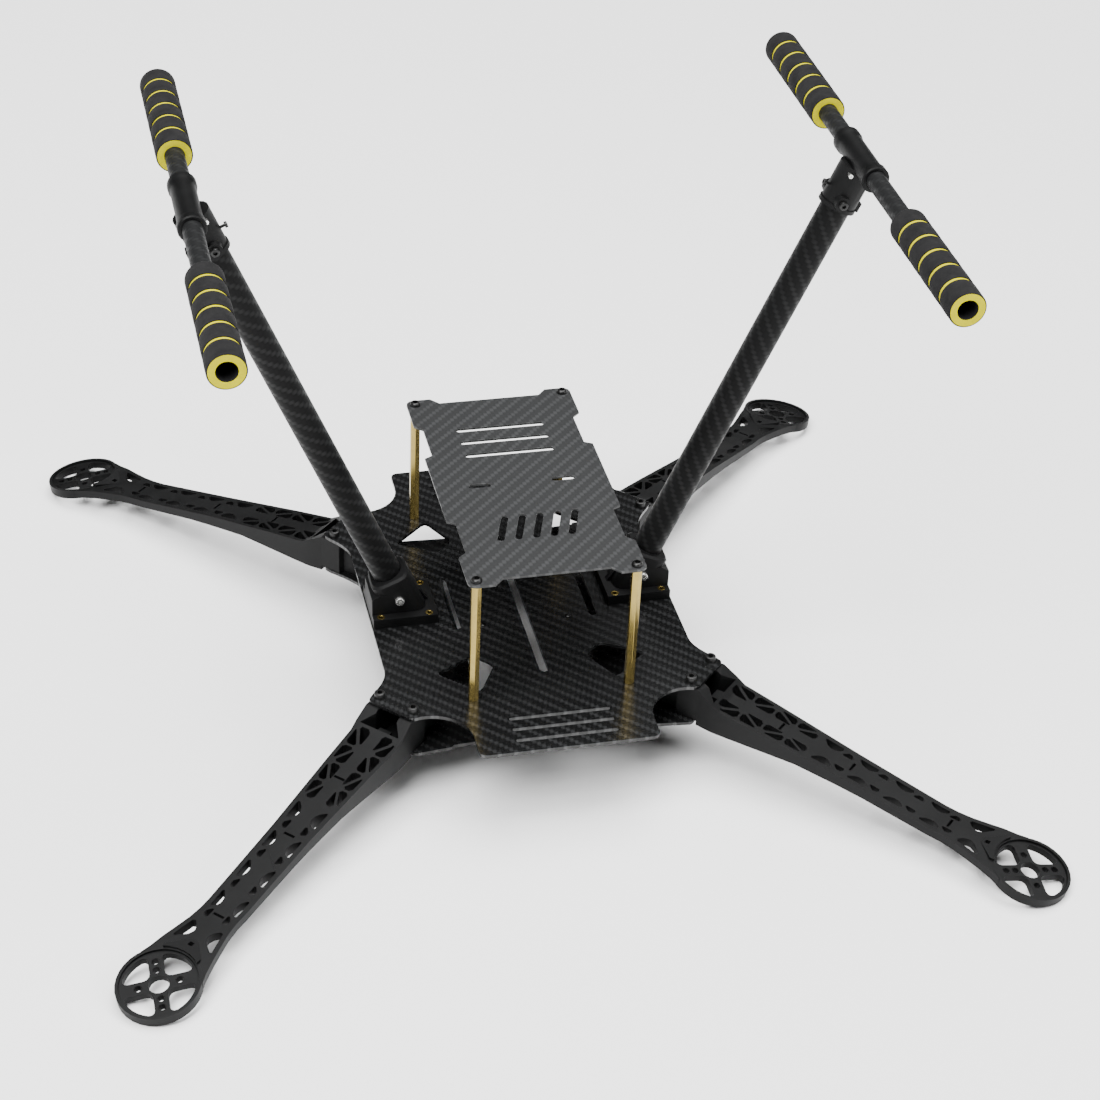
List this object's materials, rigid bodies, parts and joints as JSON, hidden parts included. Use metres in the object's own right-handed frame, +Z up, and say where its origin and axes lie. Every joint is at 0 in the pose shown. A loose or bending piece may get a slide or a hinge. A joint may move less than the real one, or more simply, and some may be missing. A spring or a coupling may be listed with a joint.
{
  "type": "multirotor frame with landing gear",
  "caption": "Multirotor airframe kit: latticed arms with motor pads, carbon plates, a battery plate on brass posts and tall skids with foam grips, standing inverted.",
  "frame": {"origin": "on the floor, under the centre of the plates, where the motor pads stand", "axes": "+Z up with the frame inverted as pictured, +X to the right skid, +Y to the rear"},
  "size_m": [0.3836, 0.3836, 0.2473],
  "materials": {
    "carbon_plate": "satin 3K twill carbon laminate",
    "carbon_tube": "satin twill carbon tube",
    "nylon": "satin glass-filled nylon",
    "foam": "matte closed-cell foam",
    "brass": "satin",
    "black_steel": "black oxide",
    "bright_steel": "polished"
  },
  "bodies": {
    "frame": {"main_plate": "carbon_plate", "cover_plate": "carbon_plate", "battery_plate": "carbon_plate", "arm_front_left": "nylon", "arm_screw_front_left_a": "black_steel", "cover_screw_front_left_a": "black_steel", "arm_screw_front_left_b": "black_steel", "cover_screw_front_left_b": "black_steel", "post_front_left": "brass", "post_screw_front_left": "black_steel", "arm_front_right": "nylon", "arm_screw_front_right_a": "black_steel", "cover_screw_front_right_a": "black_steel", "arm_screw_front_right_b": "black_steel", "cover_screw_front_right_b": "black_steel", "post_front_right": "brass", "post_screw_front_right": "black_steel", "arm_rear_left": "nylon", "arm_screw_rear_left_a": "black_steel", "cover_screw_rear_left_a": "black_steel", "arm_screw_rear_left_b": "black_steel", "cover_screw_rear_left_b": "black_steel", "post_rear_left": "brass", "post_screw_rear_left": "black_steel", "arm_rear_right": "nylon", "arm_screw_rear_right_a": "black_steel", "cover_screw_rear_right_a": "black_steel", "arm_screw_rear_right_b": "black_steel", "cover_screw_rear_right_b": "black_steel", "post_rear_right": "brass", "post_screw_rear_right": "black_steel", "leg_mount_left": "nylon", "insert_left_inner_front": "brass", "insert_left_inner_rear": "brass", "insert_left_outer_front": "brass", "insert_left_outer_rear": "brass", "leg_tube_left": "carbon_tube", "leg_bolt_left": "bright_steel", "tee_left": "nylon", "tee_bolt_left": "black_steel", "tee_pin_left": "bright_steel", "tee_set_screw_left": "black_steel", "skid_tube_left": "carbon_tube", "leg_mount_right": "nylon", "insert_right_inner_front": "brass", "insert_right_inner_rear": "brass", "insert_right_outer_front": "brass", "insert_right_outer_rear": "brass", "leg_tube_right": "carbon_tube", "leg_bolt_right": "bright_steel", "tee_right": "nylon", "tee_bolt_right": "black_steel", "tee_pin_right": "bright_steel", "tee_set_screw_right": "black_steel", "skid_tube_right": "carbon_tube"},
    "grip_front_left": {"grip_front_left": "foam"},
    "grip_rear_left": {"grip_rear_left": "foam"},
    "grip_front_right": {"grip_front_right": "foam"},
    "grip_rear_right": {"grip_rear_right": "foam"}
  },
  "joints": [
    {"name": "grip_front_left_slide", "type": "slide", "parent": "frame", "child": "grip_front_left", "axis": [0, 1, 0], "range_m": [-0.02, 0.034]},
    {"name": "grip_rear_left_slide", "type": "slide", "parent": "frame", "child": "grip_rear_left", "axis": [0, -1, 0], "range_m": [-0.02, 0.022]},
    {"name": "grip_front_right_slide", "type": "slide", "parent": "frame", "child": "grip_front_right", "axis": [0, 1, 0], "range_m": [-0.02, 0.034]},
    {"name": "grip_rear_right_slide", "type": "slide", "parent": "frame", "child": "grip_rear_right", "axis": [0, -1, 0], "range_m": [-0.02, 0.022]}
  ]
}
